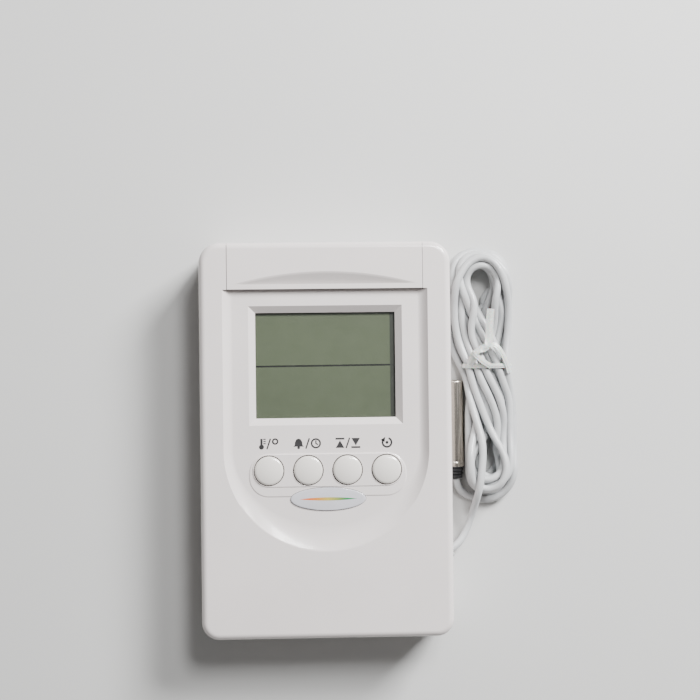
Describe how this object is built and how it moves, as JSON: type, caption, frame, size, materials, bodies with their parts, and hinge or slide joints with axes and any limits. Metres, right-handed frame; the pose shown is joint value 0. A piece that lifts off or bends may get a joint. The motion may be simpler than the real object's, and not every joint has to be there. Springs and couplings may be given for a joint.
{
  "type": "maximum minimum thermometer",
  "caption": "Flat white digital thermometer with a display over a row of round buttons, a sliding battery door, a fold-out stand and a steel probe on a tied white cable.",
  "frame": {"origin": "middle of the flat back face, on the surface that the unit lies on", "axes": "+Z out of the display, +Y to the unit's top edge, +X to the side where the cable leaves"},
  "size_m": [0.0898, 0.11, 0.02],
  "materials": {
    "white_plastic": "glossy moulded white plastic with a faint pink cast",
    "button_plastic": "glossy off-white plastic",
    "badge": "smooth pale grey label",
    "clear_window": "clear acrylic",
    "black_foam": "black foam and nylon",
    "polariser": "grey-green film",
    "lcd_glass": "thin clear glass",
    "reflector": "satin reflecting film",
    "conductive_rubber": "matt rubber",
    "board": "green solder mask on glass fibre",
    "epoxy": "black epoxy",
    "bright_steel": "nickel-plated steel",
    "ceramic_black": "black chip resistors",
    "ceramic_brown": "brown ceramic chips",
    "silicone": "matt grey silicone rubber",
    "battery_jacket": "printed plastic jacket",
    "red_wire": "red insulation",
    "black_wire": "black insulation",
    "yellow_wire": "yellow insulation",
    "brass_disc": "satin brass",
    "piezo_ceramic": "silvered ceramic",
    "cable_plastic": "soft white cable jacket",
    "tie_plastic": "clear white plastic-coated tie",
    "black_rubber": "black potting and sleeve",
    "probe_steel": "stainless steel tube, fine turned finish"
  },
  "bodies": {
    "housing": {"front_cover": "white_plastic", "rear_cover": "white_plastic", "name_badge": "badge", "display_window": "clear_window", "display_gasket": "black_foam", "lcd_front_polariser": "polariser", "lcd_front_glass": "lcd_glass", "lcd_rear_glass": "lcd_glass", "lcd_reflector": "reflector", "contact_strip_upper": "conductive_rubber", "contact_strip_lower": "conductive_rubber", "circuit_board": "board", "chip_cover": "epoxy", "crystal": "bright_steel", "resistors": "ceramic_black", "capacitors": "ceramic_brown", "indoor_sensor": "epoxy", "keypad_mat": "silicone", "battery": "battery_jacket", "battery_spring": "bright_steel", "battery_contact": "bright_steel", "battery_lead_red": "red_wire", "battery_lead_black": "black_wire", "buzzer_disc": "brass_disc", "buzzer_ceramic": "piezo_ceramic", "buzzer_leads": "yellow_wire", "housing_screws": "bright_steel", "board_screws": "bright_steel", "cable_gland": "cable_plastic", "cable_tail": "cable_plastic", "cable_stop": "black_foam", "cord_lead": "cable_plastic", "cord_hank": "cable_plastic", "cord_tie": "tie_plastic", "cord_end": "cable_plastic", "probe_seal": "black_rubber", "probe_tube": "probe_steel", "probe_sensor": "epoxy"},
    "door": {"battery_door": "white_plastic"},
    "stand_leg": {"stand": "white_plastic"},
    "units_key": {"units_button": "button_plastic", "units_pill": "conductive_rubber"},
    "alert_key": {"alert_button": "button_plastic", "alert_pill": "conductive_rubber"},
    "max_min_key": {"max_min_button": "button_plastic", "max_min_pill": "conductive_rubber"},
    "reset_key": {"reset_button": "button_plastic", "reset_pill": "conductive_rubber"}
  },
  "joints": [
    {"name": "units_press", "type": "slide", "parent": "housing", "child": "units_key", "axis": [0, 0, -1], "range_m": [0, 0.001], "stiffness_N_per_m": 600, "deforming": ["keypad_mat"]},
    {"name": "alert_press", "type": "slide", "parent": "housing", "child": "alert_key", "axis": [0, 0, -1], "range_m": [0, 0.001], "stiffness_N_per_m": 600, "deforming": ["keypad_mat"]},
    {"name": "max_min_press", "type": "slide", "parent": "housing", "child": "max_min_key", "axis": [0, 0, -1], "range_m": [0, 0.001], "stiffness_N_per_m": 600, "deforming": ["keypad_mat"]},
    {"name": "reset_press", "type": "slide", "parent": "housing", "child": "reset_key", "axis": [0, 0, -1], "range_m": [0, 0.001], "stiffness_N_per_m": 600, "deforming": ["keypad_mat"]},
    {"name": "door_slide", "type": "slide", "parent": "housing", "child": "door", "axis": [0, 1, 0], "range_m": [0, 0.014]},
    {"name": "stand_fold", "type": "hinge", "parent": "housing", "child": "stand_leg", "pos_m": [0, 0.01, 0.0016], "axis": [1, 0, 0], "range_deg": [0, 60]}
  ]
}
